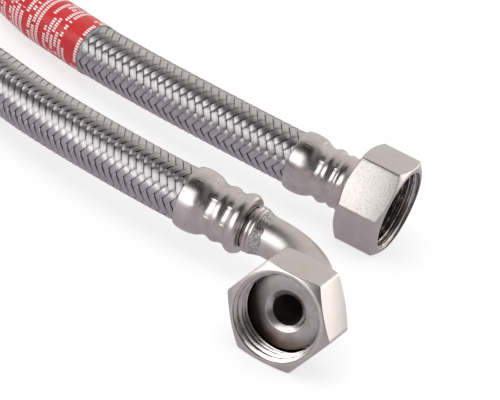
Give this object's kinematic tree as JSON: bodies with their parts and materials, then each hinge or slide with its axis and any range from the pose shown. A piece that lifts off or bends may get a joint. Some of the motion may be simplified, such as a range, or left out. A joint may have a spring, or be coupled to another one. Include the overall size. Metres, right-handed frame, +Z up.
{
  "type": "braided supply line",
  "caption": "Flexible water hose in a woven steel braid, with a crimped union nut on one end and a swept elbow with a union nut on the other.",
  "frame": {"origin": "on the ground, under the middle of the box round the two end fittings, with the hose left out", "axes": "+Z up from the ground; +X is the way the straight nut opens, along its axis; -Y is the way the elbow nut opens, along its axis; the hose runs away towards -X and lies in a loop on the ground"},
  "size_m": [0.3632, 0.2084, 0.03],
  "materials": {
    "liner_rubber": "smooth black rubber",
    "braid_wire": "bright drawn wire, woven two over two",
    "label_print": "red band with small plain white marks",
    "label_clear": "clear gloss film",
    "turned_steel": "fine turned",
    "pressed_steel": "smooth, pressed and crimped",
    "gasket_rubber": "matt",
    "nut_steel": "satin flats, one flat speckled",
    "braze": "rough, heat-tinted"
  },
  "bodies": {
    "line": {"hose_liner": "liner_rubber", "wire_braid": "braid_wire", "label_band": "label_print", "label_film": "label_clear", "straight_insert": "turned_steel", "straight_ferrule": "pressed_steel", "elbow_insert": "turned_steel", "elbow_ferrule": "pressed_steel", "elbow_tube": "turned_steel", "elbow_flange": "turned_steel", "braze_joints": "braze"},
    "gasket": {"straight_gasket": "gasket_rubber"},
    "straight_nut": {"straight_nut": "nut_steel"},
    "elbow_nut": {"elbow_nut": "nut_steel"}
  },
  "joints": [
    {"name": "straight_nut_travel", "type": "slide", "parent": "line", "child": "gasket", "axis": [1, 0, 0], "range_m": [0, 0.0023]},
    {"name": "straight_nut_turn", "type": "hinge", "parent": "gasket", "child": "straight_nut", "pos_m": [0.01354, 0.04369, 0.015], "axis": [1, 0, 0], "continuous": true},
    {"name": "elbow_nut_turn", "type": "hinge", "parent": "line", "child": "elbow_nut", "pos_m": [0.01854, -0.06101, 0.015], "axis": [0, -1, 0], "continuous": true}
  ]
}
